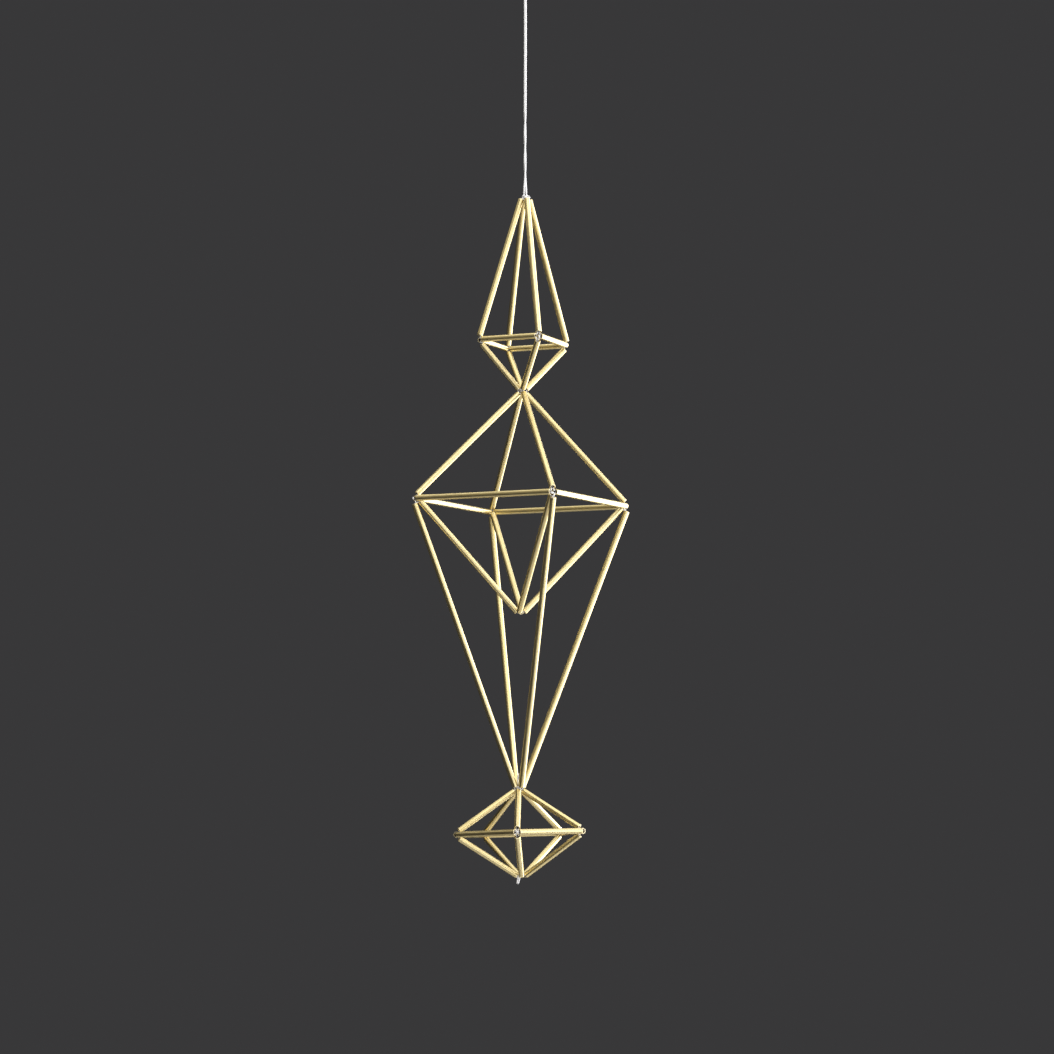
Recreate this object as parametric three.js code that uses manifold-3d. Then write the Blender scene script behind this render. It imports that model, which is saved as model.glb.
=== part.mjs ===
// A hanging mobile of straight brass tubes laced on white thread, in three units that hang one under
// the other. Millimetres, +Z up, the front towards -Y. The origin is the point inside the top of the
// hanging loop where it rests on its hook.

import * as THREE from "three";
import Module from "manifold-3d";
import { mergeVertices } from "three/addons/utils/BufferGeometryUtils.js";

const wasm = await Module();
wasm.setup();

// Brass tube, the same all over
const tubeDiameter = 2;
const boreDiameter = 1.4;
const rimGap = 0.25;
const unitGap = 0.35;

// Tubes do not meet on one point. At a ring corner the top tubes pass this far above it, and the low
// ones as far below. At the tips they pass the axis on one side, by that tip's swirl.
const cornerRise = 0.4;
const upperHeadSwirl = 0.1;
const upperFootSwirl = -0.3;
const middleHeadSwirl = 0.1;
const innerFootSwirl = -0.7;
const longFootSwirl = 0.5;
const lowerHeadSwirl = -0.1;
const lowerFootSwirl = 0.1;

// Upper unit, a tall double pyramid with a square ring
const upperTopLength = 49.5;
const upperRingLength = 20;
const upperLowLength = 19.5;

// Middle unit, an octahedron with four longer tubes around its lower half
const middleTopLength = 49.5;
const middleRingLength = 50.5;
const middleInnerLength = 49.5;
const middleLongLength = 100;
const innerShareOfSpread = 0.85;

// Lower unit, a flat double pyramid with a five-sided ring
const lowerTopLength = 23;
const lowerRingLength = 24.5;
const lowerBottomLength = 23;

// How each unit hangs, in degrees: its turn about the plumb line, and its slight lean
const upperPose = { turn: 19.5, leanRight: 0.8, leanBack: -0.4 };
const middlePose = { turn: 16.3, leanRight: 0.5, leanBack: 0.5 };
const lowerPose = { turn: -2.4, leanRight: -1.7, leanBack: 0 };

// Lacing thread and its knots
const threadDiameter = 0.55;
const threadGap = 0.3;
const knotDiameter = 0.95;
const cornerKnotHeight = 1.7;
const innerThreadDrop = 0.85;
const innerThreadRoom = 0.5;
const bunchKnotDrop = 0.6;
const topKnotWidth = 2.5;
const topKnotHeight = 1.25;
const topKnotLift = 0.95;
const knotEndLength = 1.1;
const knotEndTurn = -30;
const tailLength = 3;
const tailDirection = [-0.42, 0, -0.9];

// Hanging thread, doubled, with a knot and a loop at its upper end. Its route is measured from its
// own upper end.
const doubledThreadWidth = 1.15;
const threadRoute = [
  [0, 0, 0],
  [0.02, 0, -5],
  [0.04, 0.01, -10],
  [0.05, 0.02, -15],
  [0.04, 0.03, -20],
  [0.03, 0.03, -25],
  [0.01, 0.02, -30],
  [0, 0.01, -35],
  [-0.02, 0, -40],
  [-0.04, -0.01, -45],
  [-0.05, -0.02, -50],
  [-0.05, -0.02, -55],
  [-0.04, -0.01, -60],
  [-0.02, 0, -65],
  [0, 0, -71],
];
const loopLength = 16;
const loopWidth = 8;
const loopLegAngle = 0.36;
const loopTwist = 0.9;
const tearFullness = 1.3;
const tearSharpness = 1.5;
const loopKnotWidth = 2.2;
const loopKnotHeight = 2.4;

// Fineness of the round forms
const tubeSides = 14;
const boreSides = 8;
const threadSides = 4;
const cordSides = 8;
const threadSteps = 27;
const loopSteps = 26;
const settlePasses = 12;
const setbackLimit = 8;
const setbackHalvings = 22;
const gapPasses = 60;
const finestEdge = 0.01;

const tubeRadius = tubeDiameter / 2;
const threadRadius = threadDiameter / 2;
const bendLap = threadRadius / 2;
const up = new THREE.Vector3(0, 0, 1);

// A tube as a solid rod that starts the given setback from a point, and runs on along its line
function rod(point, along, setback) {
  return { end: point.clone().addScaledVector(along, setback), along };
}

function nearestInRod(point, { end, along }) {
  const away = point.clone().sub(end);
  const reach = away.dot(along);
  const across = away.addScaledVector(along, -reach);
  const inside = Math.min(1, tubeRadius / across.length());
  return across.multiplyScalar(inside).addScaledVector(along, Math.max(0, reach)).add(end);
}

function rodGap(one, other) {
  let here = one.end;
  let there = nearestInRod(here, other);
  for (let pass = 0; pass < gapPasses; pass += 1) {
    here = nearestInRod(there, one);
    there = nearestInRod(here, other);
  }
  return here.distanceTo(there);
}

// Smallest setback at which a tube clears its neighbours at a joint. Neighbours of its own kind have
// the same setback.
function clearSetback(point, along, neighbours) {
  let low = 0;
  let high = setbackLimit;
  for (let pass = 0; pass < setbackHalvings; pass += 1) {
    const tried = (low + high) / 2;
    const here = rod(point, along, tried);
    const clear = neighbours(tried).every((other) => rodGap(here, other) >= rimGap);
    [low, high] = clear ? [low, tried] : [tried, high];
  }
  return high;
}

function onAxis(z) {
  return new THREE.Vector3(0, 0, z);
}

function aroundAxis(point, angle) {
  return point.clone().applyAxisAngle(up, angle);
}

function direction(from, to) {
  return to.clone().sub(from).normalize();
}

// Height between the ends of a line of the given length that runs between two radii
function rise(slant, reach, swirl) {
  return Math.sqrt(slant ** 2 - reach ** 2 - swirl ** 2);
}

// The rods of the next tubes round a tip
function roundTip(point, along, turn) {
  const turns = [turn, 2 * turn];
  return (setback) => turns.map((t) => rod(aroundAxis(point, t), aroundAxis(along, t), setback));
}

// How far a square-cut end reaches up or down past its middle
function rimReach(along) {
  return tubeRadius * Math.sqrt(1 - along.z ** 2);
}

// Sizes of a double pyramid that its tube lengths give. The ring lies at height 0. The angles at the
// joints set how far the tube ends stay back, and these set the angles, so both settle together.
// Where long outer tubes start beside the lower ones, a spread parts the two kinds at the corner: the
// lower ones move in by their share of it, and the long ones out by the rest.
function settle({ sides, top, ring, low, long, headSwirl, footSwirl }) {
  const turn = (2 * Math.PI) / sides;
  const size = { turn, spread: 0 };
  const back = { ring: 0, topFoot: 0, topHead: 0, lowHead: 0, lowFoot: 0, longHead: 0, longFoot: 0 };
  for (let pass = 0; pass < settlePasses; pass += 1) {
    const radius = (ring + 2 * back.ring) / (2 * Math.sin(turn / 2));
    const lowRadius = radius - innerShareOfSpread * size.spread;
    size.corner = new THREE.Vector3(radius, 0, 0);
    size.topCorner = new THREE.Vector3(radius, 0, cornerRise);
    size.lowCorner = new THREE.Vector3(lowRadius, 0, -cornerRise);
    const headHeight = cornerRise + rise(top + back.topHead + back.topFoot, radius, headSwirl);
    const footDepth = cornerRise + rise(low + back.lowHead + back.lowFoot, lowRadius, footSwirl);
    size.head = new THREE.Vector3(0, headSwirl, headHeight);
    size.foot = new THREE.Vector3(0, footSwirl, -footDepth);
    const toNext = direction(size.corner, aroundAxis(size.corner, turn));
    const toPrevious = direction(size.corner, aroundAxis(size.corner, -turn));
    const toHead = direction(size.topCorner, size.head);
    const toFoot = direction(size.lowCorner, size.foot);
    const fromHead = toHead.clone().negate();
    const fromFoot = toFoot.clone().negate();
    back.ring = clearSetback(size.corner, toNext, (own) => [rod(size.corner, toPrevious, own)]);
    const ringRods = [toNext, toPrevious].map((along) => rod(size.corner, along, back.ring));
    back.topFoot = clearSetback(size.topCorner, toHead, () => ringRods);
    back.lowHead = clearSetback(size.lowCorner, toFoot, () => ringRods);
    back.topHead = clearSetback(size.head, fromHead, roundTip(size.head, fromHead, turn));
    back.lowFoot = clearSetback(size.foot, fromFoot, roundTip(size.foot, fromFoot, turn));
    size.headRim = size.head.z - back.topHead * toHead.z + rimReach(toHead);
    size.footRim = size.foot.z - back.lowFoot * toFoot.z - rimReach(toFoot);
    if (long) {
      const longRadius = radius + (1 - innerShareOfSpread) * size.spread;
      const longSlant = long + back.longHead + back.longFoot;
      const longDepth = cornerRise + rise(longSlant, longRadius, longFootSwirl);
      size.longCorner = new THREE.Vector3(longRadius, 0, -cornerRise);
      size.longFoot = new THREE.Vector3(0, longFootSwirl, -longDepth);
      const toLongFoot = direction(size.longCorner, size.longFoot);
      const fromLongFoot = toLongFoot.clone().negate();
      const split = toFoot.angleTo(toLongFoot);
      const apart = tubeRadius * (1 + Math.cos(split)) + rimGap - back.lowHead * Math.sin(split);
      size.spread = Math.max(0, apart) / Math.abs(toLongFoot.z);
      const clearOfRing = clearSetback(size.longCorner, toLongFoot, () => ringRods);
      back.longHead = clearOfRing + innerThreadRoom;
      const longNeighbours = roundTip(size.longFoot, fromLongFoot, turn);
      back.longFoot = clearSetback(size.longFoot, fromLongFoot, longNeighbours);
      size.longEnds = size.longFoot.z - back.longFoot * toLongFoot.z;
      size.footRim = size.longEnds - rimReach(toLongFoot);
    }
  }
  size.back = back;
  return size;
}

function polygon(diameter, sides) {
  return Array.from({ length: sides }, (_, side) => {
    const angle = (2 * Math.PI * side) / sides;
    return new THREE.Vector2(Math.cos(angle), Math.sin(angle)).multiplyScalar(diameter / 2);
  });
}

function brass() {
  return new THREE.MeshStandardMaterial({ color: 0xd8bd74, roughness: 0.32, metalness: 1 });
}

function thread() {
  return new THREE.MeshStandardMaterial({ color: 0xf2f0ec, roughness: 0.85, metalness: 0 });
}

// A hollow tube, cut square at both ends
function tubeMesh(name, start, along, length) {
  const section = new THREE.Shape(polygon(tubeDiameter, tubeSides));
  section.holes.push(new THREE.Path(polygon(boreDiameter, boreSides)));
  const geometry = new THREE.ExtrudeGeometry(section, { depth: length, bevelEnabled: false });
  const mesh = new THREE.Mesh(geometry, brass());
  mesh.name = name;
  mesh.position.copy(start);
  mesh.quaternion.setFromUnitVectors(up, along);
  return mesh;
}

function solidOf(geometry) {
  geometry.deleteAttribute("normal");
  geometry.deleteAttribute("uv");
  const merged = mergeVertices(geometry);
  const shape = new wasm.Mesh({
    numProp: 3,
    vertProperties: Float32Array.from(merged.attributes.position.array),
    triVerts: Uint32Array.from(merged.index.array),
  });
  return new wasm.Manifold(shape);
}

function joined(name, solids) {
  const result = solids.reduce((whole, piece) => whole.add(piece)).simplify(finestEdge).getMesh();
  const geometry = new THREE.BufferGeometry();
  geometry.setAttribute("position", new THREE.BufferAttribute(result.vertProperties, 3));
  geometry.setIndex(new THREE.BufferAttribute(result.triVerts, 1));
  const mesh = new THREE.Mesh(geometry, thread());
  mesh.name = name;
  return mesh;
}

// A straight stretch of lacing thread. It laps past both of its points, so that bends stay closed.
function stretch(from, to) {
  const span = from.distanceTo(to) + 2 * bendLap;
  const geometry = new THREE.CylinderGeometry(threadRadius, threadRadius, span, threadSides);
  geometry.rotateX(Math.PI / 2);
  geometry.applyQuaternion(new THREE.Quaternion().setFromUnitVectors(up, direction(from, to)));
  const middle = from.clone().lerp(to, 0.5);
  geometry.translate(middle.x, middle.y, middle.z);
  return solidOf(geometry);
}

function knot(centre, width, height, detail = 0) {
  const geometry = new THREE.IcosahedronGeometry(0.5, detail);
  geometry.scale(width, width, height);
  geometry.translate(centre.x, centre.y, centre.z);
  return solidOf(geometry);
}

// Builds one unit: places tubes around the axis and collects the thread that runs through them
class Unit {
  constructor(size) {
    this.size = size;
    this.group = new THREE.Group();
    this.thread = [];
  }

  // A tube on the line between two points, and its thread, which bends at the tube's mouths and runs
  // on to a knot at each end
  tube(name, from, fromBack, to, toBack, fromKnot, toKnot) {
    const along = direction(from, to);
    const start = from.clone().addScaledVector(along, fromBack);
    const end = to.clone().addScaledVector(along, -toBack);
    this.group.add(tubeMesh(name, start, along, start.distanceTo(end)));
    const bends = [fromKnot === from ? [] : start, toKnot === to ? [] : end].flat();
    const route = [fromKnot, ...bends, toKnot];
    route.slice(1).forEach((point, index) => this.thread.push(stretch(route[index], point)));
  }

  knot(centre, height = knotDiameter) {
    this.thread.push(knot(centre, knotDiameter, height));
  }

  // Hangs the unit with the named point of its axis at a point of the room
  hang(hook, localHeight, { turn, leanRight, leanBack }) {
    const angles = [leanBack, leanRight, turn].map(THREE.MathUtils.degToRad);
    this.group.rotation.set(...angles, "YXZ");
    this.group.position.copy(hook).sub(onAxis(localHeight).applyEuler(this.group.rotation));
    this.group.updateMatrixWorld();
  }

  pointOnAxis(localHeight) {
    return this.group.localToWorld(onAxis(localHeight));
  }

  finish(threadName) {
    this.group.add(joined(threadName, this.thread));
  }
}

// Adds the top, ring and low tubes, and a knot at each ring corner. The first corner faces the front.
function addDoublePyramid(unit, label, lowKind, corners, ringSides, headKnot, footKnot) {
  const { size } = unit;
  const { turn, corner, topCorner, lowCorner, head, foot, back } = size;
  corners.forEach((place, index) => {
    const angle = -Math.PI / 2 + index * turn;
    const [here, topHere, lowHere] = [corner, topCorner, lowCorner].map((p) => aroundAxis(p, angle));
    const [headHere, footHere] = [head, foot].map((point) => aroundAxis(point, angle));
    const next = aroundAxis(corner, angle + turn);
    const topName = `${label}_top_tube_${place}`;
    const ringName = `${label}_ring_tube_${ringSides[index]}`;
    const lowName = `${label}_${lowKind}_tube_${place}`;
    const lowKnot = size.spread > 0 ? here.clone().sub(onAxis(innerThreadDrop)) : lowHere;
    unit.tube(topName, headHere, back.topHead, topHere, back.topFoot, headKnot, topHere);
    unit.tube(ringName, here, back.ring, next, back.ring, here, next);
    unit.tube(lowName, lowHere, back.lowHead, footHere, back.lowFoot, lowKnot, footKnot);
    unit.knot(here, cornerKnotHeight);
  });
  unit.knot(footKnot);
}

const fourCorners = ["front", "right", "back", "left"];
const fourSides = ["front_right", "back_right", "back_left", "front_left"];
const fiveCorners = ["front", "right", "back_right", "back_left", "left"];
const fiveSides = ["front_right", "right", "back", "left", "front_left"];

const tipKnotInset = knotDiameter / 2;

function makeUpperUnit() {
  const size = settle({
    sides: 4,
    top: upperTopLength,
    ring: upperRingLength,
    low: upperLowLength,
    headSwirl: upperHeadSwirl,
    footSwirl: upperFootSwirl,
  });
  const unit = new Unit(size);
  const topKnot = onAxis(size.headRim + topKnotLift);
  const footKnot = onAxis(size.footRim + tipKnotInset);
  addDoublePyramid(unit, "upper", "lower", fourCorners, fourSides, topKnot, footKnot);
  unit.thread.push(knot(topKnot, topKnotWidth, topKnotHeight, 1));
  const cutEnd = new THREE.Vector3((topKnotWidth + knotEndLength) / 2 - bendLap, 0, 0);
  cutEnd.applyAxisAngle(up, THREE.MathUtils.degToRad(knotEndTurn)).add(topKnot);
  unit.thread.push(stretch(topKnot, cutEnd));
  unit.hang(onAxis(topKnotTop - topKnotHeight / 2), topKnot.z, upperPose);
  unit.finish("upper_lacing_thread");
  return unit;
}

// The middle and lower units hang with the rims of their top tubes just under the unit above
function makeMiddleUnit(hook) {
  const size = settle({
    sides: 4,
    top: middleTopLength,
    ring: middleRingLength,
    low: middleInnerLength,
    long: middleLongLength,
    headSwirl: middleHeadSwirl,
    footSwirl: innerFootSwirl,
  });
  const unit = new Unit(size);
  const headKnot = onAxis(size.headRim - tipKnotInset);
  addDoublePyramid(unit, "middle", "inner", fourCorners, fourSides, headKnot, onAxis(size.foot.z));
  unit.knot(headKnot);
  const bunchKnot = onAxis(size.longEnds - bunchKnotDrop);
  const { back, turn } = size;
  fourCorners.forEach((place, index) => {
    const angle = -Math.PI / 2 + index * turn;
    const from = aroundAxis(size.longCorner, angle);
    const to = aroundAxis(size.longFoot, angle);
    const cornerKnot = aroundAxis(size.corner, angle);
    const name = `middle_long_tube_${place}`;
    unit.tube(name, from, back.longHead, to, back.longFoot, cornerKnot, bunchKnot);
  });
  unit.knot(bunchKnot);
  unit.hang(hook, size.headRim, middlePose);
  unit.finish("middle_lacing_thread");
  return unit;
}

function makeLowerUnit(hook, headKnotDrop) {
  const size = settle({
    sides: 5,
    top: lowerTopLength,
    ring: lowerRingLength,
    low: lowerBottomLength,
    headSwirl: lowerHeadSwirl,
    footSwirl: lowerFootSwirl,
  });
  const unit = new Unit(size);
  const headKnot = onAxis(size.headRim - headKnotDrop);
  const footKnot = onAxis(size.foot.z);
  addDoublePyramid(unit, "lower", "bottom", fiveCorners, fiveSides, headKnot, footKnot);
  unit.knot(headKnot);
  const tailEnd = new THREE.Vector3(...tailDirection).setLength(tailLength - bendLap).add(footKnot);
  unit.thread.push(stretch(footKnot, tailEnd));
  unit.hang(hook, size.headRim, lowerPose);
  unit.finish("lower_lacing_thread");
  return unit;
}

function alongPath(name, path, width, steps) {
  const section = new THREE.Shape(polygon(width, cordSides));
  const geometry = new THREE.ExtrudeGeometry(section, { steps, extrudePath: path, bevelEnabled: false });
  const mesh = new THREE.Mesh(geometry, thread());
  mesh.name = name;
  return mesh;
}

function makeHangingThread() {
  const points = threadRoute.map((point) => new THREE.Vector3(...point).add(onAxis(threadTop)));
  const path = new THREE.CatmullRomCurve3(points);
  return alongPath("hanging_thread", path, doubledThreadWidth, threadSteps);
}

function makeLoopKnot() {
  const centre = onAxis(loopKnotTop - loopKnotHeight / 2);
  return joined("loop_knot", [knot(centre, loopKnotWidth, loopKnotHeight, 1)]);
}

// A tear-shaped loop, round above, whose two legs come together over the knot, a little twisted
class TearCurve extends THREE.Curve {
  getPoint(share, target = new THREE.Vector3()) {
    const angle = loopLegAngle + share * 2 * (Math.PI - loopLegAngle);
    const full = tearFullness * Math.sin(angle / 2) ** tearSharpness;
    const across = (loopWidth / 2) * Math.sin(angle) * full;
    const forward = loopTwist * Math.sin(angle) / 2;
    const height = threadRadius - (loopLength / 2) * (1 + Math.cos(angle));
    return target.set(-across, -forward, height);
  }
}

const tear = new TearCurve();
const loopKnotTop = tear.getPoint(0).z - threadGap;
const threadTop = loopKnotTop - loopKnotHeight - threadGap;
const topKnotTop = threadTop + threadRoute[threadRoute.length - 1][2] - threadGap;

const upper = makeUpperUnit();
const middle = makeMiddleUnit(upper.pointOnAxis(upper.size.footRim - unitGap));
const { longEnds, footRim } = middle.size;
const bunchKnotBelowRims = footRim - (longEnds - bunchKnotDrop);
const headKnotDrop = bunchKnotBelowRims - unitGap + knotDiameter + threadGap;
const lower = makeLowerUnit(middle.pointOnAxis(footRim - unitGap), headKnotDrop);

const mobile = new THREE.Group();
mobile.add(upper.group, middle.group, lower.group);
mobile.add(makeHangingThread(), makeLoopKnot());
mobile.add(alongPath("hanging_loop", tear, threadDiameter, loopSteps));

export default mobile;
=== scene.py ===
import math

import bpy
import numpy as np
from mathutils import Matrix, Vector


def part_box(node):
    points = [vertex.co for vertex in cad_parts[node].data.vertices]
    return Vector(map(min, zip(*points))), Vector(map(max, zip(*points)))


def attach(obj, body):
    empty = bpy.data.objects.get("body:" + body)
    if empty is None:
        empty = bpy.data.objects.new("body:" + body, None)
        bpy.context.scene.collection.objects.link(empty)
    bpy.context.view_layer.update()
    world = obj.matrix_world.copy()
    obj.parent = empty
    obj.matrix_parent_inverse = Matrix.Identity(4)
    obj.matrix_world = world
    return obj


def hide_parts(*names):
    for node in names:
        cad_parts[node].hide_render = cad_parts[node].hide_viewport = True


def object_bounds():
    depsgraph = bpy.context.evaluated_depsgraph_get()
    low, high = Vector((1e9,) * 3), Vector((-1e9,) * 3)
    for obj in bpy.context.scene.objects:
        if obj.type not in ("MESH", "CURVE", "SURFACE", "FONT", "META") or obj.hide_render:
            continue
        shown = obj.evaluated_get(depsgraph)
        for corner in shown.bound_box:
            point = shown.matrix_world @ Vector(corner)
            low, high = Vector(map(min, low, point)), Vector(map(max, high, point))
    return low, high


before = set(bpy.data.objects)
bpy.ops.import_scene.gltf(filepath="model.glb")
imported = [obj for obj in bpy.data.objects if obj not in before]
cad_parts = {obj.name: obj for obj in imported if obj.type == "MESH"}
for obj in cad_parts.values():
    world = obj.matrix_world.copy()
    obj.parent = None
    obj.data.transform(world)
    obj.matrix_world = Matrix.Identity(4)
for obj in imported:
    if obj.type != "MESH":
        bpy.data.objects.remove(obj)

cad_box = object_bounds()
MM = 0.001
random = np.random.default_rng(7)


def mm(*lengths):
    """Lengths in millimetres, as an array in metres."""
    return np.array(lengths) * MM


# The camera is level with the mobile's foot and looks slightly up
SENSOR_MM = 36.0
LENS_MM = 119.54
SEEN_POINT = Vector((0.00062, 0.0, -0.20289))
CAMERA_DISTANCE = 1.176
CAMERA_PITCH = math.radians(5.87)

# The doubled hanging thread, from its foot up, on the route that part.mjs gives it
THREAD_TOP = -0.018212
ROUTE_MM = [
    (0.0, 0.0, -71.0), (-0.02, 0.0, -65.0), (-0.04, -0.01, -60.0), (-0.05, -0.02, -55.0),
    (-0.05, -0.02, -50.0), (-0.04, -0.01, -45.0), (-0.02, 0.0, -40.0), (0.0, 0.01, -35.0),
    (0.01, 0.02, -30.0), (0.03, 0.03, -25.0), (0.04, 0.03, -20.0), (0.05, 0.02, -15.0),
    (0.04, 0.01, -10.0), (0.02, 0.0, -5.0), (0.0, 0.0, 0.0),
]
CORD_LENGTH = 0.071
CORD_STRIDE = 0.14 * MM

# Its two strands part over the top knot, cross three times and lie side by side from there up
STRAND_WIDTH = 0.70 * MM
STRAND_SIDES = 14
TURN_PLACES = mm(0.0, 6.9, 16.0, 24.5, 29.0)
QUARTER_TURNS = (-0.16, 1, 3, 5, 6)
STRAND_START = QUARTER_TURNS[0] * math.pi / 2
PARTING = 0.40 * MM
PRESSED = 0.16 * MM

# The hanging loop, a tear shape between the angles where its two legs begin. The first leg runs on
# down into the knot.
LOOP_LENGTH = 16 * MM
LOOP_WIDTH = 8 * MM
LOOP_TOP = 0.275 * MM
LOOP_TWIST = 0.9 * MM
LOOP_THREAD = 0.58 * MM
LOOP_CORNERS = 40
FIRST_LEG_ANGLE = 0.465
LAST_LEG_ANGLE = 0.36
LEG_FOOT = mm(-0.0416, -0.0476, -15.8122)
FULLNESS = 1.3
SHARPNESS = 1.5

# Thread. A pitch of a metre leaves a strand untwisted.
PLY_PITCH = 1.5 * MM
PLY_SPREAD = 0.32
NO_TWIST = 1.0
STRIDE = 0.12 * MM
END_WIDTH = 0.75
# TIP_GROOVE is the painted groove shade at a strand's two tips
TIP_GROOVE = 0.3
KNOT_POINTS = 90
KNOT_STRAND = 0.42 * MM

# The fibres at a cut end, in shares of the end's width and length
FIBRES = 7
FIBRE_ROOT = 0.25 * MM
FIBRE_WIDTH = 0.2
FIBRE_OFFSET = 0.25
FIBRE_SPREAD = 0.33
FIBRE_WAVE = 0.05
SHORTEST_FIBRE = 0.6

# Lacing: straight runs in the bores, and crossings that start deep in them
THREAD_WIDTH = 0.5 * MM
RUN_START = 4 * MM
CROSSING_WIDTH = 0.4 * MM
CROSSING_SIDES = 12
CROSSING_START = 4.5 * MM
CROSSING_TURN = 1.6 * MM
CROSSING_CLEARANCE = 0.03 * MM
MOST_BULGE = 0.12
JOINT_REACH = 5 * MM

# Brass tube. Each end is longer than its solid's by TOUCH, so that neighbours meet.
AROUND = 48
WALL = 0.3 * MM
BORE_RADIUS = 0.7 * MM
EDGE_ROUND = 0.07 * MM
TOUCH = 0.12 * MM
SIDE_RINGS = 9
SIDE_MARGIN = 0.6 * MM
RIM_ZONE = 0.2 * MM
END_SLANT = 0.02
MOST_BOW = 0.05
BOWED_LENGTH = 0.05

# A pale floor well below, and a dim even surround
FLOOR_Z = -2.0
FLOOR_RADIUS = 1.7
FLOOR_CORNERS = 64
SURROUND = (0.040, 0.0395, 0.041, 1.0)

# Lights
AIM = Vector((0.0, 0.0, -0.2))
WARM = (1.0, 0.99, 0.97)
AMBER = (1.0, 0.93, 0.76)
WINDOW = (0.985, 0.985, 1.05)

camera_data = bpy.data.cameras.new("camera")
camera_data.sensor_width = SENSOR_MM
camera_data.lens = LENS_MM
camera = bpy.data.objects.new("camera", camera_data)
bpy.context.scene.collection.objects.link(camera)
looking = Vector((0.0, math.cos(CAMERA_PITCH), math.sin(CAMERA_PITCH)))
camera.location = SEEN_POINT - looking * CAMERA_DISTANCE
camera.rotation_euler = (math.pi / 2 + CAMERA_PITCH, 0.0, 0.0)
bpy.context.scene.camera = camera


# Node materials
class Shader:
    """A material's node tree, with short ways to add to it."""

    def __init__(self, name):
        self.material = bpy.data.materials.new(name)
        self.material.use_nodes = True
        self.tree = self.material.node_tree
        self.surface = self.tree.nodes["Principled BSDF"]

    def node(self, kind, inputs=(), **settings):
        made = self.tree.nodes.new(kind)
        for key, value in settings.items():
            setattr(made, key, value)
        for key, value in dict(inputs).items():
            self.put(made.inputs[key], value)
        return made

    def put(self, socket, value):
        if isinstance(value, bpy.types.NodeSocket):
            self.tree.links.new(value, socket)
        else:
            socket.default_value = value

    def set(self, **values):
        for key, value in values.items():
            self.put(self.surface.inputs[key.replace("_", " ")], value)

    def math(self, operation, a, b):
        return self.node("ShaderNodeMath", {0: a, 1: b}, operation=operation).outputs[0]

    def ramp(self, factor, low, high, to_low=0.0, to_high=1.0):
        inputs = {0: factor, 1: low, 2: high, 3: to_low, 4: to_high}
        return self.node("ShaderNodeMapRange", inputs).outputs[0]

    def blend(self, factor, a, b):
        made = self.node("ShaderNodeMix", data_type="RGBA")
        self.put(made.inputs[0], factor)
        self.put(made.inputs[6], a)
        self.put(made.inputs[7], b)
        return made.outputs[2]

    def noise(self, vector, scale, shift=0.0, detail=2.0, roughness=0.5):
        stretched = self.node("ShaderNodeMapping", {"Vector": vector, "Scale": scale}).outputs[0]
        inputs = {"Vector": stretched, "W": shift, "Scale": 1.0, "Detail": detail, "Roughness": roughness}
        return self.node("ShaderNodeTexNoise", inputs, noise_dimensions="4D").outputs[0]

    def attribute(self, name, output="Fac"):
        return self.node("ShaderNodeAttribute", attribute_name=name).outputs[output]

    def bump(self, height, strength, distance):
        inputs = {"Strength": strength, "Distance": distance, "Height": height}
        return self.node("ShaderNodeBump", inputs).outputs[0]


def brass():
    """Drawn tube: bands and fine lines along it, olive stains, brown specks, cut ends of paler fresh brass
    with a painted highlight, and painted shade inside the bore.
    """
    clean = (0.790, 0.675, 0.365, 1.0)
    warm = (0.750, 0.615, 0.295, 1.0)
    olive = (0.600, 0.505, 0.230, 1.0)
    brown_line = (0.56, 0.42, 0.20, 1.0)
    brown_speck = (0.36, 0.24, 0.10, 1.0)
    # Paler fresh-cut brass, made brighter still as a painted highlight on the cut ends
    fresh_cut_and_painted_highlight = (0.94, 0.83, 0.55, 1.0)
    # Painted shade: dark brown for the inside of the bore
    painted_bore_shade = (0.24, 0.15, 0.07, 1.0)
    s = Shader("satin_brass")
    along = s.node("ShaderNodeTexCoord").outputs["Object"]
    shift = s.attribute("shift")
    drawn = s.noise(along, (1500, 1500, 14), shift, 1.0)
    bands = s.noise(along, (900, 900, 10), shift)
    stain = s.noise(along, (300, 300, 75), shift, 3.0)
    specks = s.noise(along, (700, 700, 260), shift, 1.0)
    colour = s.blend(s.ramp(bands, 0.35, 0.68), clean, warm)
    colour = s.blend(s.ramp(stain, 0.54, 0.76, 0.0, 0.5), colour, olive)
    colour = s.blend(s.ramp(drawn, 0.30, 0.60, 0.10, 0.0), colour, brown_line)
    colour = s.blend(s.ramp(specks, 0.70, 0.84, 0.0, 0.35), colour, brown_speck)
    tone = {"Hue": 0.5, "Saturation": 1.0, "Value": s.attribute("tone"), "Color": colour}
    colour = s.node("ShaderNodeHueSaturation", tone).outputs[0]
    # Cut ends: paler fresh-cut brass and a painted highlight on the end face and its rounded edges
    colour = s.blend(s.attribute("cut"), colour, fresh_cut_and_painted_highlight)
    # Painted shade: the bore's inside is blended towards dark brown by its share, and it is rougher there
    # too
    bore = s.attribute("bore")
    colour = s.blend(bore, colour, painted_bore_shade)
    rough = s.ramp(bands, 0.3, 0.7, 0.28, 0.34)
    rough = s.math("ADD", rough, s.ramp(stain, 0.5, 0.75, 0.0, 0.10))
    rough = s.math("ADD", rough, s.ramp(drawn, 0.3, 0.7, 0.04, -0.03))
    rough = s.math("ADD", rough, s.math("MULTIPLY", bore, 0.25))
    s.set(Base_Color=colour, Metallic=1.0, Roughness=rough, Normal=s.bump(drawn, 0.08, 0.00002))
    return s.material


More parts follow.
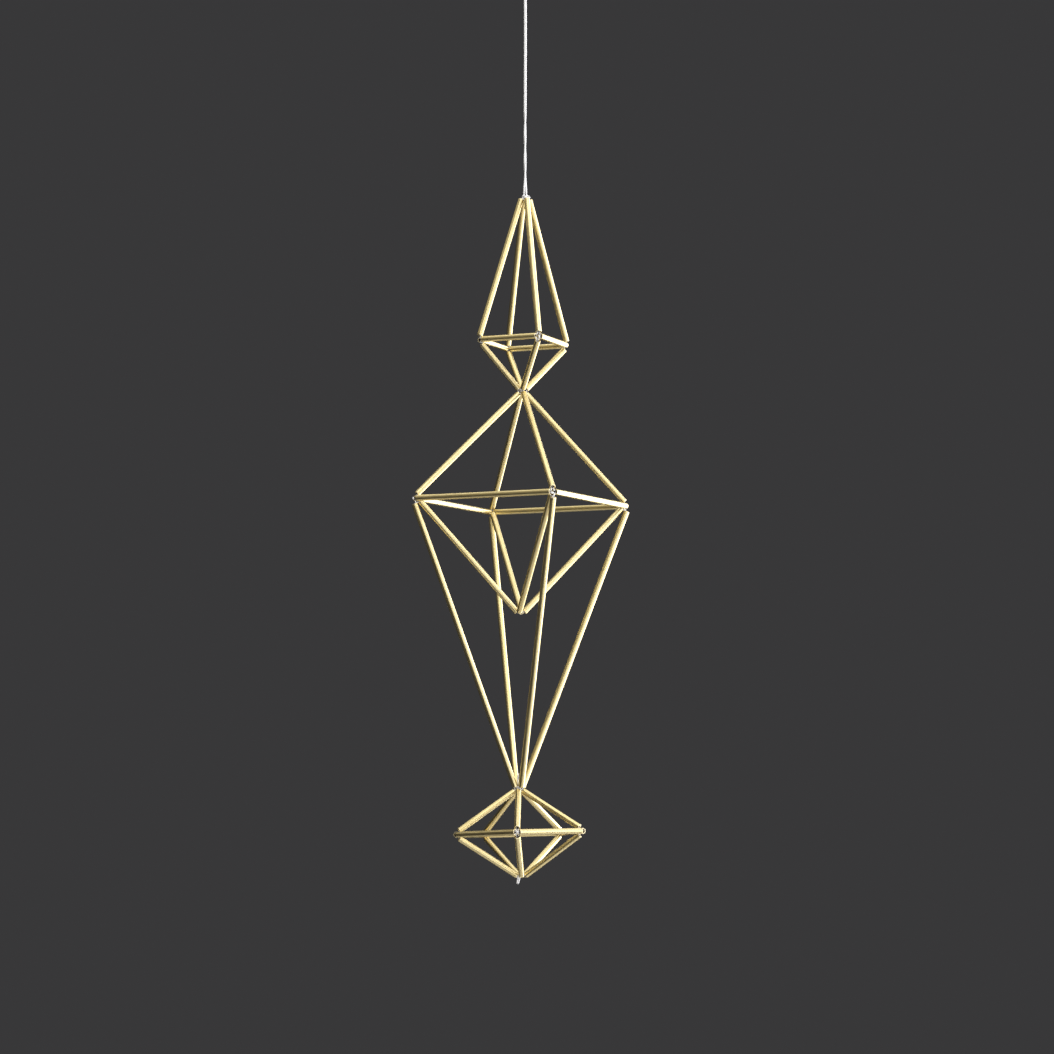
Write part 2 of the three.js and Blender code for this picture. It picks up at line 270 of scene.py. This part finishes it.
def cotton():
    """White thread: fine fibres that follow the plies with painted shade between them, slubs, and painted
    shade in the groove between the plies.
    """
    white = (0.992, 0.99, 0.985, 1.0)
    off_white = (0.965, 0.962, 0.955, 1.0)
    # Painted shade between the fibres
    painted_fibre_shade = (0.91, 0.905, 0.895, 1.0)
    # Painted shade in the groove between the plies
    painted_groove_shade = (0.90, 0.895, 0.885, 1.0)
    s = Shader("white_thread")
    lay = s.attribute("lay", "Vector")
    fibres = s.noise(lay, (2.2, 22.0, 1.0), 0.0, 3.0, 0.65)
    slubs = s.noise(lay, (0.25, 1.2, 1.0), 3.0, 3.0)
    colour = s.blend(s.ramp(slubs, 0.35, 0.7), white, off_white)
    # Painted shade: darker where the fibre bump is low, between the fibres
    colour = s.blend(s.ramp(fibres, 0.30, 0.60, 0.25, 0.0), colour, painted_fibre_shade)
    # Painted shade: greyer the deeper a point lies in the groove between the plies
    colour = s.blend(s.math("MULTIPLY", s.attribute("groove"), 0.3), colour, painted_groove_shade)
    rough = s.ramp(fibres, 0.3, 0.7, 0.74, 0.90)
    s.set(Base_Color=colour, Roughness=rough, Normal=s.bump(fibres, 0.2, 0.00003))
    s.set(Sheen_Weight=0.35, Sheen_Roughness=0.5)
    return s.material


def pale_floor():
    lighter = (0.74, 0.73, 0.715, 1.0)
    darker = (0.70, 0.69, 0.675, 1.0)
    s = Shader("pale_floor")
    where = s.node("ShaderNodeTexCoord").outputs["Object"]
    cloud = s.noise(where, (1.6, 1.6, 1.6), 0.0, 4.0)
    colour = s.blend(s.ramp(cloud, 0.3, 0.7), lighter, darker)
    s.set(Base_Color=colour, Roughness=s.ramp(cloud, 0.3, 0.7, 0.6, 0.75))
    return s.material


BRASS = brass()
COTTON = cotton()


# Meshes
def mesh_piece(name, points, faces, material, values=()):
    """A smooth-shaded object. values holds its point attributes, as numbers or vectors by name."""
    mesh = bpy.data.meshes.new(name)
    mesh.from_pydata([tuple(p) for p in points], [], faces)
    for key, numbers in dict(values).items():
        numbers = np.asarray(numbers, np.float32)
        flat = numbers.ndim == 1
        made = mesh.attributes.new(key, "FLOAT" if flat else "FLOAT_VECTOR", "POINT")
        made.data.foreach_set("value" if flat else "vector", numbers.ravel())
    mesh.materials.append(material)
    mesh.polygons.foreach_set("use_smooth", [True] * len(mesh.polygons))
    mesh.update()
    piece = bpy.data.objects.new(name, mesh)
    bpy.context.scene.collection.objects.link(piece)
    return piece


def ring_faces(rings, sides, closed=False):
    """Quads between each ring of points and the next, and back to the first ring if closed."""
    faces = []
    for i in range(rings if closed else rings - 1):
        here = i * sides
        there = (i + 1) % rings * sides
        for j in range(sides):
            k = (j + 1) % sides
            faces.append([here + j, here + k, there + k, there + j])
    return faces


class Bundle:
    """Several closed strands of thread in one mesh."""

    def __init__(self):
        self.points = []
        self.faces = []
        self.lay = []
        self.groove = []
        self.count = 0

    def add(self, points, faces, lay, groove):
        self.points.append(points)
        self.faces += [[i + self.count for i in face] for face in faces]
        self.lay.append(lay)
        self.groove.append(groove)
        self.count += len(points)

    def piece(self, name):
        values = {"lay": np.concatenate(self.lay), "groove": np.concatenate(self.groove)}
        return mesh_piece(name, np.concatenate(self.points), self.faces, COTTON, values)


def run_along(line):
    """How far along the line each of its points lies."""
    return np.concatenate([[0], np.cumsum(np.linalg.norm(np.diff(line, axis=0), axis=1))])


def respaced(line, stride):
    run = run_along(line)
    at = np.linspace(0, run[-1], max(3, int(run[-1] / stride) + 1))
    return np.stack([np.interp(at, run, line[:, k]) for k in range(3)], axis=1)


def smooth_line(corners, stride=STRIDE):
    """Points about a stride apart on a Catmull-Rom curve through the corners."""
    p = np.array(corners, float)
    p = np.vstack([2 * p[0] - p[1], p, 2 * p[-1] - p[-2]])
    dense = []
    for a, b, c, d in zip(p[:-3], p[1:-2], p[2:-1], p[3:]):
        count = max(8, int(np.linalg.norm(c - b) / stride * 2))
        t = np.linspace(0, 1, count, endpoint=False)[:, None]
        square = 2 * a - 5 * b + 4 * c - d
        cube = 3 * b - a - 3 * c + d
        dense.append(0.5 * (2 * b + (c - a) * t + square * t**2 + cube * t**3))
    return respaced(np.vstack(dense + [p[-2:-1]]), stride)


def path_from(origin, *steps):
    """Points at the steps, which are in millimetres from the origin."""
    return [origin + mm(*step) for step in steps]


def cross_axes(line):
    """Two directions square to the line at each point, which turn as little as they can along it."""
    tangent = np.gradient(line, axis=0)
    tangent /= np.linalg.norm(tangent, axis=1)[:, None]
    normal = np.zeros_like(line)
    start = np.cross(tangent[0], (0.31, 0.95, 0.05))
    normal[0] = start / np.linalg.norm(start)
    for i in range(1, len(line)):
        n = normal[i - 1] - tangent[i] * (normal[i - 1] @ tangent[i])
        normal[i] = n / np.linalg.norm(n)
    return normal, np.cross(tangent, normal)


def add_strand(bundle, line, width, pitch=PLY_PITCH, sides=16, tapered=True):
    """A two-ply thread along the line. Its section has a lobe for each ply and turns once every pitch."""
    normal, side = cross_axes(line)
    run = run_along(line)
    n = len(line)
    angle = np.linspace(0, 2 * math.pi, sides, endpoint=False)
    ply = width / 2 / (1 + PLY_SPREAD)
    offset = PLY_SPREAD * ply
    outline = offset * abs(np.cos(angle)) + np.sqrt(ply**2 - (offset * np.sin(angle)) ** 2)
    turn = 2 * math.pi * run / pitch + random.uniform(0, 6)
    a = angle[None] + turn[:, None]
    from_end = np.minimum(run, run[-1] - run)
    scale = np.clip(END_WIDTH + from_end / width / 2, 0, 1) if tapered else np.ones(n)
    radius = outline[None] * scale[:, None]
    across = np.cos(a)[..., None] * normal[:, None] + np.sin(a)[..., None] * side[:, None]
    rings = line[:, None] + radius[..., None] * across
    points = np.vstack([rings.reshape(-1, 3), line[:1], line[-1:]])
    faces = ring_faces(n, sides)
    first_tip = n * sides
    last_tip = first_tip + 1
    last_ring = (n - 1) * sides
    for j in range(sides):
        k = (j + 1) % sides
        faces.append([first_tip, k, j])
        faces.append([last_tip, last_ring + j, last_ring + k])
    lay = np.stack([np.repeat(run / width, sides), np.tile(angle, n), np.zeros(n * sides)], axis=1)
    lay = np.vstack([lay, [[0, 0, 0]], [[run[-1] / width, 0, 0]]])
    # How deep each point lies in the groove between the plies, which sets the painted shade there; the
    # tips get TIP_GROOVE
    deep = np.clip((outline.max() - outline) / (outline.max() - outline.min()), 0, 1) ** 2
    groove = np.concatenate([np.tile(deep, n), [TIP_GROOVE, TIP_GROOVE]])
    bundle.add(points, faces, lay, groove)


def add_knot(bundle, centre, half_sizes, strand, lean=(0.0, 0.0)):
    """An overhand knot drawn tight: a trefoil squeezed to the half sizes.

    lean shears it: how far x carries it along z, and z along x.
    """
    t = np.linspace(0, 2 * math.pi, KNOT_POINTS)
    x = np.sin(t) + 2 * np.sin(2 * t)
    y = np.cos(t) - 2 * np.cos(2 * t)
    z = -np.sin(3 * t)
    shape = np.stack([x, y, z], axis=1)
    shape /= abs(shape).max(0)
    axes = np.diag(half_sizes - strand / 2)
    axes[0, 2] = lean[0]
    axes[2, 0] = lean[1]
    add_strand(bundle, respaced(centre + shape @ axes, STRIDE), strand, tapered=False)


def fray(bundle, tip, direction, width, length):
    """The fibres that stand out of a cut end."""
    ahead = direction / np.linalg.norm(direction)
    for _ in range(FIBRES):
        spread = random.normal(0, FIBRE_SPREAD, 3)
        outwards = spread - ahead * (spread @ ahead)
        end = tip + (ahead + outwards) * length * random.uniform(SHORTEST_FIBRE, 1.0)
        start = tip - ahead * FIBRE_ROOT + spread * width * FIBRE_OFFSET
        middle = (start + end) / 2 + random.normal(0, FIBRE_WAVE, 3) * length
        fibre = smooth_line([start, middle, end])
        add_strand(bundle, fibre, width * FIBRE_WIDTH, NO_TWIST, sides=6, tapered=False)


def add_cut_end(bundle, corners, width, frayed_width, frayed_length):
    """A strand through the corners whose last end is cut and frayed."""
    add_strand(bundle, smooth_line(corners), width)
    fray(bundle, corners[-1], corners[-1] - corners[-2], frayed_width, frayed_length)


# The hanging thread, its loop and the knot between them
def strand_pair(line):
    run = run_along(line)
    half_gap = PARTING + (PRESSED - PARTING) * np.clip(run / TURN_PLACES[1], 0, 1)
    phase = np.interp(run, TURN_PLACES, QUARTER_TURNS) * math.pi / 2
    across = np.stack([np.cos(phase), np.sin(phase), np.zeros(len(run))], axis=1)
    pair = Bundle()
    for sign in (1, -1):
        add_strand(pair, line + sign * half_gap[:, None] * across, STRAND_WIDTH, sides=STRAND_SIDES)
    return pair.piece("hanging_thread_pair")


def open_loop():
    """A tear shape with a slight twist."""
    t = np.linspace(FIRST_LEG_ANGLE, 2 * math.pi - LAST_LEG_ANGLE, LOOP_CORNERS)
    x = -LOOP_WIDTH / 2 * np.sin(t) * FULLNESS * np.sin(t / 2) ** SHARPNESS
    y = -LOOP_TWIST / 2 * np.sin(t)
    z = LOOP_TOP - LOOP_LENGTH / 2 * (1 + np.cos(t))
    loop = Bundle()
    add_strand(loop, smooth_line(np.vstack([LEG_FOOT, np.stack([x, y, z], axis=1)])), LOOP_THREAD)
    return loop.piece("loop_thread")


def loop_knot(centre):
    """A trefoil, the two strands through it and a cut end."""
    tied = Bundle()
    add_knot(tied, centre, mm(1.02, 1.0, 1.12), 0.62 * MM, lean=mm(-0.13, -0.1))
    for x in (-0.25, 0.25):
        strand = path_from(centre, (x, 0, -1.45), (1.3 * x, 0.1, 0), (0.8 * x, 0, 1.45))
        add_strand(tied, smooth_line(strand), 0.56 * MM)
    cut = path_from(centre, (0.2, -0.1, 0.1), (0.9, -0.35, 0.1), (1.5, -0.5, -0.35))
    add_cut_end(tied, cut, 0.54 * MM, 0.54 * MM, 0.7 * MM)
    return tied.piece("loop_knot_tied")


centre_line = smooth_line(np.array(ROUTE_MM) * MM + (0, 0, THREAD_TOP), CORD_STRIDE)
hanging = strand_pair(centre_line)
loop_piece = open_loop()
knot_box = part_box("loop_knot")
tied_piece = loop_knot(np.array((knot_box[0] + knot_box[1]) / 2))

for piece, node in ((hanging, "hanging_thread"), (loop_piece, "hanging_loop"), (tied_piece, "loop_knot")):
    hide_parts(node)
    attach(piece, "root")


# The brass tubes, each where its solid lies
def tube_line(node):
    """The centres of the tube's two ends, and its outer radius."""
    points = np.unique(np.round([v.co[:] for v in node.data.vertices], 7), axis=0)
    middle = points.mean(0)
    axis = np.linalg.svd(points - middle)[2][0]
    along = (points - middle) @ axis
    first = points[along < along.min() + RIM_ZONE].mean(0)
    last = points[along > along.max() - RIM_ZONE].mean(0)
    away = points - first
    axis = (last - first) / np.linalg.norm(last - first)
    radius = np.linalg.norm(away - np.outer(away @ axis, axis), axis=1).max()
    return first, last, radius


tubes = {name: tube_line(node) for name, node in sorted(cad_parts.items()) if "_tube_" in name}


def tube_contour(length, radius):
    """The wall's outline as (radius, height, cut end's share, bore's share), once round."""
    inner = radius - WALL
    bends = (0.0, 0.3, 0.7, 1.0)
    half = [(radius, z, 0.0, 0.0) for z in np.linspace(SIDE_MARGIN, length - SIDE_MARGIN, SIDE_RINGS)]
    # The cut end: its outer and inner rounded edges and the face between, where the cut share sets the
    # paler colour and painted highlight
    for bend in bends:
        inwards = EDGE_ROUND * (1 - math.cos(bend * math.pi / 2))
        down = EDGE_ROUND * (1 - math.sin(bend * math.pi / 2))
        half.append((radius - inwards, length - down, 0.3 + 0.7 * bend, 0.0))
    for bend in bends:
        outwards = EDGE_ROUND * (1 - math.sin(bend * math.pi / 2))
        down = EDGE_ROUND * (1 - math.cos(bend * math.pi / 2))
        half.append((inner + outwards, length - down, 1.0 - 0.6 * bend, 0.0))
    # The bore's inside, where its share sets the painted shade
    for z in (length - 0.5 * MM, length - 2.5 * MM, length / 2):
        half.append((inner, z, 0.0, 1.0))
    mirrored = [(r, length - z, cut, bore) for r, z, cut, bore in reversed(half[SIDE_RINGS:-1])]
    return half + mirrored


def build_tube(name, first, last, radius):
    """A tube with slightly slanted cuts and a slight bow, lying from first to last."""
    along = (last - first) / np.linalg.norm(last - first)
    first = first - along * TOUCH
    last = last + along * TOUCH
    length = float(np.linalg.norm(last - first))
    contour = tube_contour(length, radius)
    angle = np.linspace(0, 2 * math.pi, AROUND, endpoint=False)
    slant = random.uniform(-END_SLANT, END_SLANT, 4)
    bow = random.uniform(0.0, MOST_BOW) * MM * min(1.0, length / BOWED_LENGTH)
    bow_angle = random.uniform(0, 2 * math.pi)
    points = []
    for r, z, _, _ in contour:
        x = r * np.cos(angle)
        y = r * np.sin(angle)
        share = z / length
        at_first = (slant[0] * x + slant[1] * y) * (1 - share) ** 8
        at_last = (slant[2] * x + slant[3] * y) * share**8
        lift = bow * 4 * share * (1 - share)
        bowed_x = x + lift * math.cos(bow_angle)
        bowed_y = y + lift * math.sin(bow_angle)
        points.append(np.stack([bowed_x, bowed_y, z + (at_first + at_last)], axis=1))
    n = len(contour)
    values = {
        "cut": np.repeat([cut for _, _, cut, _ in contour], AROUND),
        "bore": np.repeat([bore for _, _, _, bore in contour], AROUND),
        "shift": np.full(n * AROUND, random.uniform(0, 60)),
        "tone": np.full(n * AROUND, random.uniform(0.94, 1.04)),
    }
    faces = ring_faces(n, AROUND, closed=True)
    piece = mesh_piece(name + "_brass", np.vstack(points), faces, BRASS, values)
    turned = Vector(along).to_track_quat("Z", "Y").to_matrix().to_4x4()
    piece.matrix_world = Matrix.Translation(Vector(first)) @ turned
    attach(piece, "root")
    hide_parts(name)


for name, (first, last, radius) in tubes.items():
    build_tube(name, first, last, radius)


# The lacing: thread through every bore, and stretches that cross from mouth to mouth at each joint.
# A tube end is (tube name, mouth, direction into the tube).
def joints_of(unit):
    """Groups of the unit's tube ends that lie together."""
    ends = []
    for name, (first, last, _) in tubes.items():
        if name.startswith(unit + "_"):
            into = (last - first) / np.linalg.norm(last - first)
            ends += [(name, first, into), (name, last, -into)]
    groups = []
    for end in ends:
        near = [g for g in groups if any(np.linalg.norm(end[1] - other[1]) < JOINT_REACH for other in g)]
        joined = [end] + [other for g in near for other in g]
        groups = [g for g in groups if not any(g is other for other in near)] + [joined]
    return groups


def ends_at(kind, lower):
    """The lower or upper tube ends of one kind, such as middle_top."""
    ends = []
    for name, (first, last, _) in tubes.items():
        if name.startswith(kind + "_tube_"):
            mouth, other = (first, last) if (first[2] < last[2]) == lower else (last, first)
            ends.append((name, mouth, (other - mouth) / np.linalg.norm(other - mouth)))
    return ends


def middle_of(ends):
    return sum(mouth for _, mouth, _ in ends) / len(ends)


def outward(group):
    """The joint's direction away from its tubes."""
    sum_in = sum(into for _, _, into in group)
    return -sum_in / np.linalg.norm(sum_in)


def ordered_round(group, out):
    """The ends in their order round the joint's outward direction."""
    u = np.cross(out, (0.3, 0.2, 0.9))
    u /= np.linalg.norm(u)
    v = np.cross(out, u)
    return sorted(group, key=lambda end: math.atan2(end[2] @ v, end[2] @ u))


def toward(end, other):
    """Unit direction from an end's mouth to another mouth, square to the end's own tube."""
    d = other[1] - end[1]
    d = d - end[2] * (d @ end[2])
    return d / np.linalg.norm(d)


def add_crossing(bundle, a, b, bulge):
    """Thread out of one mouth and into another, with its middle moved by the bulge."""
    reach = BORE_RADIUS - CROSSING_WIDTH / 2 - CROSSING_CLEARANCE
    corners = []
    for (_, mouth, into), side in ((a, toward(a, b)), (b, toward(b, a))):
        corners.append([
            mouth + into * CROSSING_START + side * 0.1 * MM,
            mouth + into * CROSSING_TURN + side * reach * 0.8,
            mouth + side * reach,
        ])
    middle = (a[1] + b[1]) / 2 + bulge
    line = smooth_line(corners[0] + [middle] + corners[1][::-1])
    add_strand(bundle, line, CROSSING_WIDTH, sides=CROSSING_SIDES)


def lace(unit):
    bundle = Bundle()
    for name, (first, last, _) in tubes.items():
        if name.startswith(unit + "_"):
            into = (last - first) / np.linalg.norm(last - first)
            run = np.linspace(first + into * RUN_START, last - into * RUN_START, 4)
            add_strand(bundle, run, THREAD_WIDTH, NO_TWIST, sides=8, tapered=False)
    for group in joints_of(unit):
        out = outward(group)
        ends = ordered_round(group, out)
        for a, b in zip(ends, ends[1:] + ends[:1]):
            add_crossing(bundle, a, b, out * random.uniform(0.0, MOST_BULGE) * MM)
    return bundle


def add_tie(bundle, above, below, half_sizes):
    """Threads from the mouths of one unit's tip to those of the next, and their knot."""
    for end in above:
        nearest = min(below, key=lambda other: np.linalg.norm(other[1] - end[1]))
        add_crossing(bundle, end, nearest, 0.0)
    add_knot(bundle, (middle_of(above) + middle_of(below)) / 2, half_sizes, KNOT_STRAND)


def joint_middle(tube):
    """Middle of the ring joint that a top tube comes down to."""
    unit = tube.split("_")[0]
    kind = tube.split("_tube_")[0]
    foot = next(mouth for name, mouth, _ in ends_at(kind, True) if name == tube)
    return middle_of(next(g for g in joints_of(unit) if any(mouth is foot for _, mouth, _ in g)))


def add_joint_knot(bundle, tube, offset, half_sizes):
    add_knot(bundle, joint_middle(tube) + offset, half_sizes, KNOT_STRAND)


def add_top_knot(bundle, foot):
    """The knot that gathers the top tubes' threads under the foot of the hanging thread."""
    centre = foot + mm(0.15, -0.6, -1.3)
    add_knot(bundle, centre, mm(1.35, 1.15, 0.8), 0.78 * MM)
    add_knot(bundle, centre + mm(0, 0, -0.05), mm(0.9, 1.0, 0.75), 0.74 * MM)
    for sign in (1, -1):
        apart = sign * PARTING * np.array((math.cos(STRAND_START), math.sin(STRAND_START), 0.0))
        bend = foot + apart * 1.1 + mm(0, 0, -0.4)
        strand = smooth_line([foot + apart + mm(0, 0, 0.12), bend, centre + apart])
        add_strand(bundle, strand, STRAND_WIDTH * 0.92, sides=STRAND_SIDES)
    nub = path_from(centre, (0.2, -0.25, 0.35), (0.85, -0.5, 0.25), (1.35, -0.6, -0.1))
    add_cut_end(bundle, nub, 0.62 * MM, 0.6 * MM, 0.35 * MM)
    for _, mouth, into in ends_at("upper_top", False):
        in_knot = centre + (mouth - centre) * (0.5, 0.5, 0.0)
        strand = smooth_line([mouth + into * 4 * MM, mouth + into * 1.2 * MM, mouth, in_knot])
        add_strand(bundle, strand, CROSSING_WIDTH, sides=CROSSING_SIDES)


def add_stub(bundle):
    """A cut end that lies up along the lower ends of the long tubes."""
    bunch = middle_of(ends_at("middle_long", True))
    stub = path_from(bunch, (-0.1, -0.6, 0.1), (-0.35, -1.25, 1.6), (-0.35, -1.3, 3.0), (-0.15, -1.2, 4.1))
    add_cut_end(bundle, stub, 0.5 * MM, 0.5 * MM, 0.3 * MM)


def add_tail(bundle):
    """The doubled cut end that hangs from the lowest joint, and the knot at its root."""
    bottom = middle_of(ends_at("lower_bottom", True))
    tip = np.array((bottom[0] - 1.2 * MM, bottom[1] - 0.9 * MM, cad_box[0][2] + 1.3 * MM))
    for side in (-0.22, 0.22):
        apart = mm(side, 0.1 * side, 0.0)
        root = bottom + apart + mm(-0.2, 0, 1.2)
        bend = bottom + apart * 1.5 + mm(-0.7, -0.7, 0.2)
        add_cut_end(bundle, [root, bend, tip + apart], 0.54 * MM, 0.5 * MM, 0.3 * MM)
    add_knot(bundle, bottom + mm(-0.5, -0.65, 0.1), mm(0.55, 0.5, 0.6), 0.45 * MM)


upper = lace("upper")
add_top_knot(upper, np.array((0.0, 0.0, THREAD_TOP - CORD_LENGTH)))
add_joint_knot(upper, "upper_top_tube_front", mm(0.35, -0.75, -0.15), mm(0.4, 0.3, 0.35))

middle = lace("middle")
add_tie(middle, ends_at("upper_lower", True), ends_at("middle_top", False), mm(0.85, 0.85, 0.4))
add_joint_knot(middle, "middle_top_tube_front", mm(-0.15, -0.75, -0.1), mm(0.6, 0.35, 0.42))
add_joint_knot(middle, "middle_top_tube_left", mm(-1.15, -0.2, 0.25), mm(0.35, 0.45, 0.5))
add_stub(middle)

lower = lace("lower")
add_tie(lower, ends_at("middle_long", True), ends_at("lower_top", False), mm(0.9, 0.9, 0.4))
add_joint_knot(lower, "lower_top_tube_front", mm(0.0, -0.75, 0.05), mm(0.5, 0.35, 0.5))
add_joint_knot(lower, "lower_top_tube_back_right", mm(0.35, 0.9, 1.35), mm(0.6, 0.5, 0.6))
add_tail(lower)

lacing = {"upper": upper, "middle": middle, "lower": lower}
for unit, bundle in lacing.items():
    piece = bundle.piece(unit + "_lacing")
    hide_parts(unit + "_lacing_thread")
    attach(piece, "root")

# The floor, the lights and the surround
rim = np.linspace(0, 2 * math.pi, FLOOR_CORNERS, endpoint=False)
disc = np.stack([FLOOR_RADIUS * np.cos(rim), FLOOR_RADIUS * np.sin(rim), np.zeros(FLOOR_CORNERS)], axis=1)
floor = mesh_piece("floor", disc, [list(range(FLOOR_CORNERS))], pale_floor())
floor.location = (0, 0, FLOOR_Z)


def soft_light(name, azimuth, elevation, distance, width, height, radiance, colour):
    """A rectangle of light that faces the mobile, from an azimuth and elevation in degrees."""
    data = bpy.data.lights.new(name, "AREA")
    data.shape = "RECTANGLE"
    data.size = width
    data.size_y = height
    data.energy = radiance * width * height * math.pi
    data.color = colour
    light = bpy.data.objects.new(name, data)
    bpy.context.scene.collection.objects.link(light)
    a = math.radians(azimuth)
    e = math.radians(elevation)
    away = Vector((math.cos(e) * math.cos(a), math.cos(e) * math.sin(a), math.sin(e)))
    light.location = AIM + away * distance
    light.rotation_euler = away.to_track_quat("Z", "Y").to_euler()
    light.visible_camera = False


soft_light("window", 27, -2, 1.8, 2.2, 2.6, 4.2, WINDOW)
soft_light("right_front", -30, 4, 1.8, 1.1, 2.2, 2.3, WINDOW)
soft_light("ceiling", 10, 80, 1.6, 2.4, 2.4, 1.6, WARM)
soft_light("front_high", -75, 38, 1.9, 2.0, 1.0, 2.3, WARM)
soft_light("front", -76, 3, 2.0, 1.6, 1.2, 1.2, WARM)
soft_light("front_low", -62, -28, 1.9, 1.5, 0.8, 1.8, WARM)
soft_light("left_high", -165, 44, 1.8, 1.8, 0.9, 0.62, AMBER)
soft_light("left", -145, 4, 1.9, 1.0, 1.0, 0.22, AMBER)

world = bpy.data.worlds.new("surround")
world.use_nodes = True
world.node_tree.nodes["Background"].inputs["Color"].default_value = SURROUND
world.node_tree.nodes["Background"].inputs["Strength"].default_value = 1.0
bpy.context.scene.world = world
bpy.context.scene.view_settings.view_transform = "Standard"
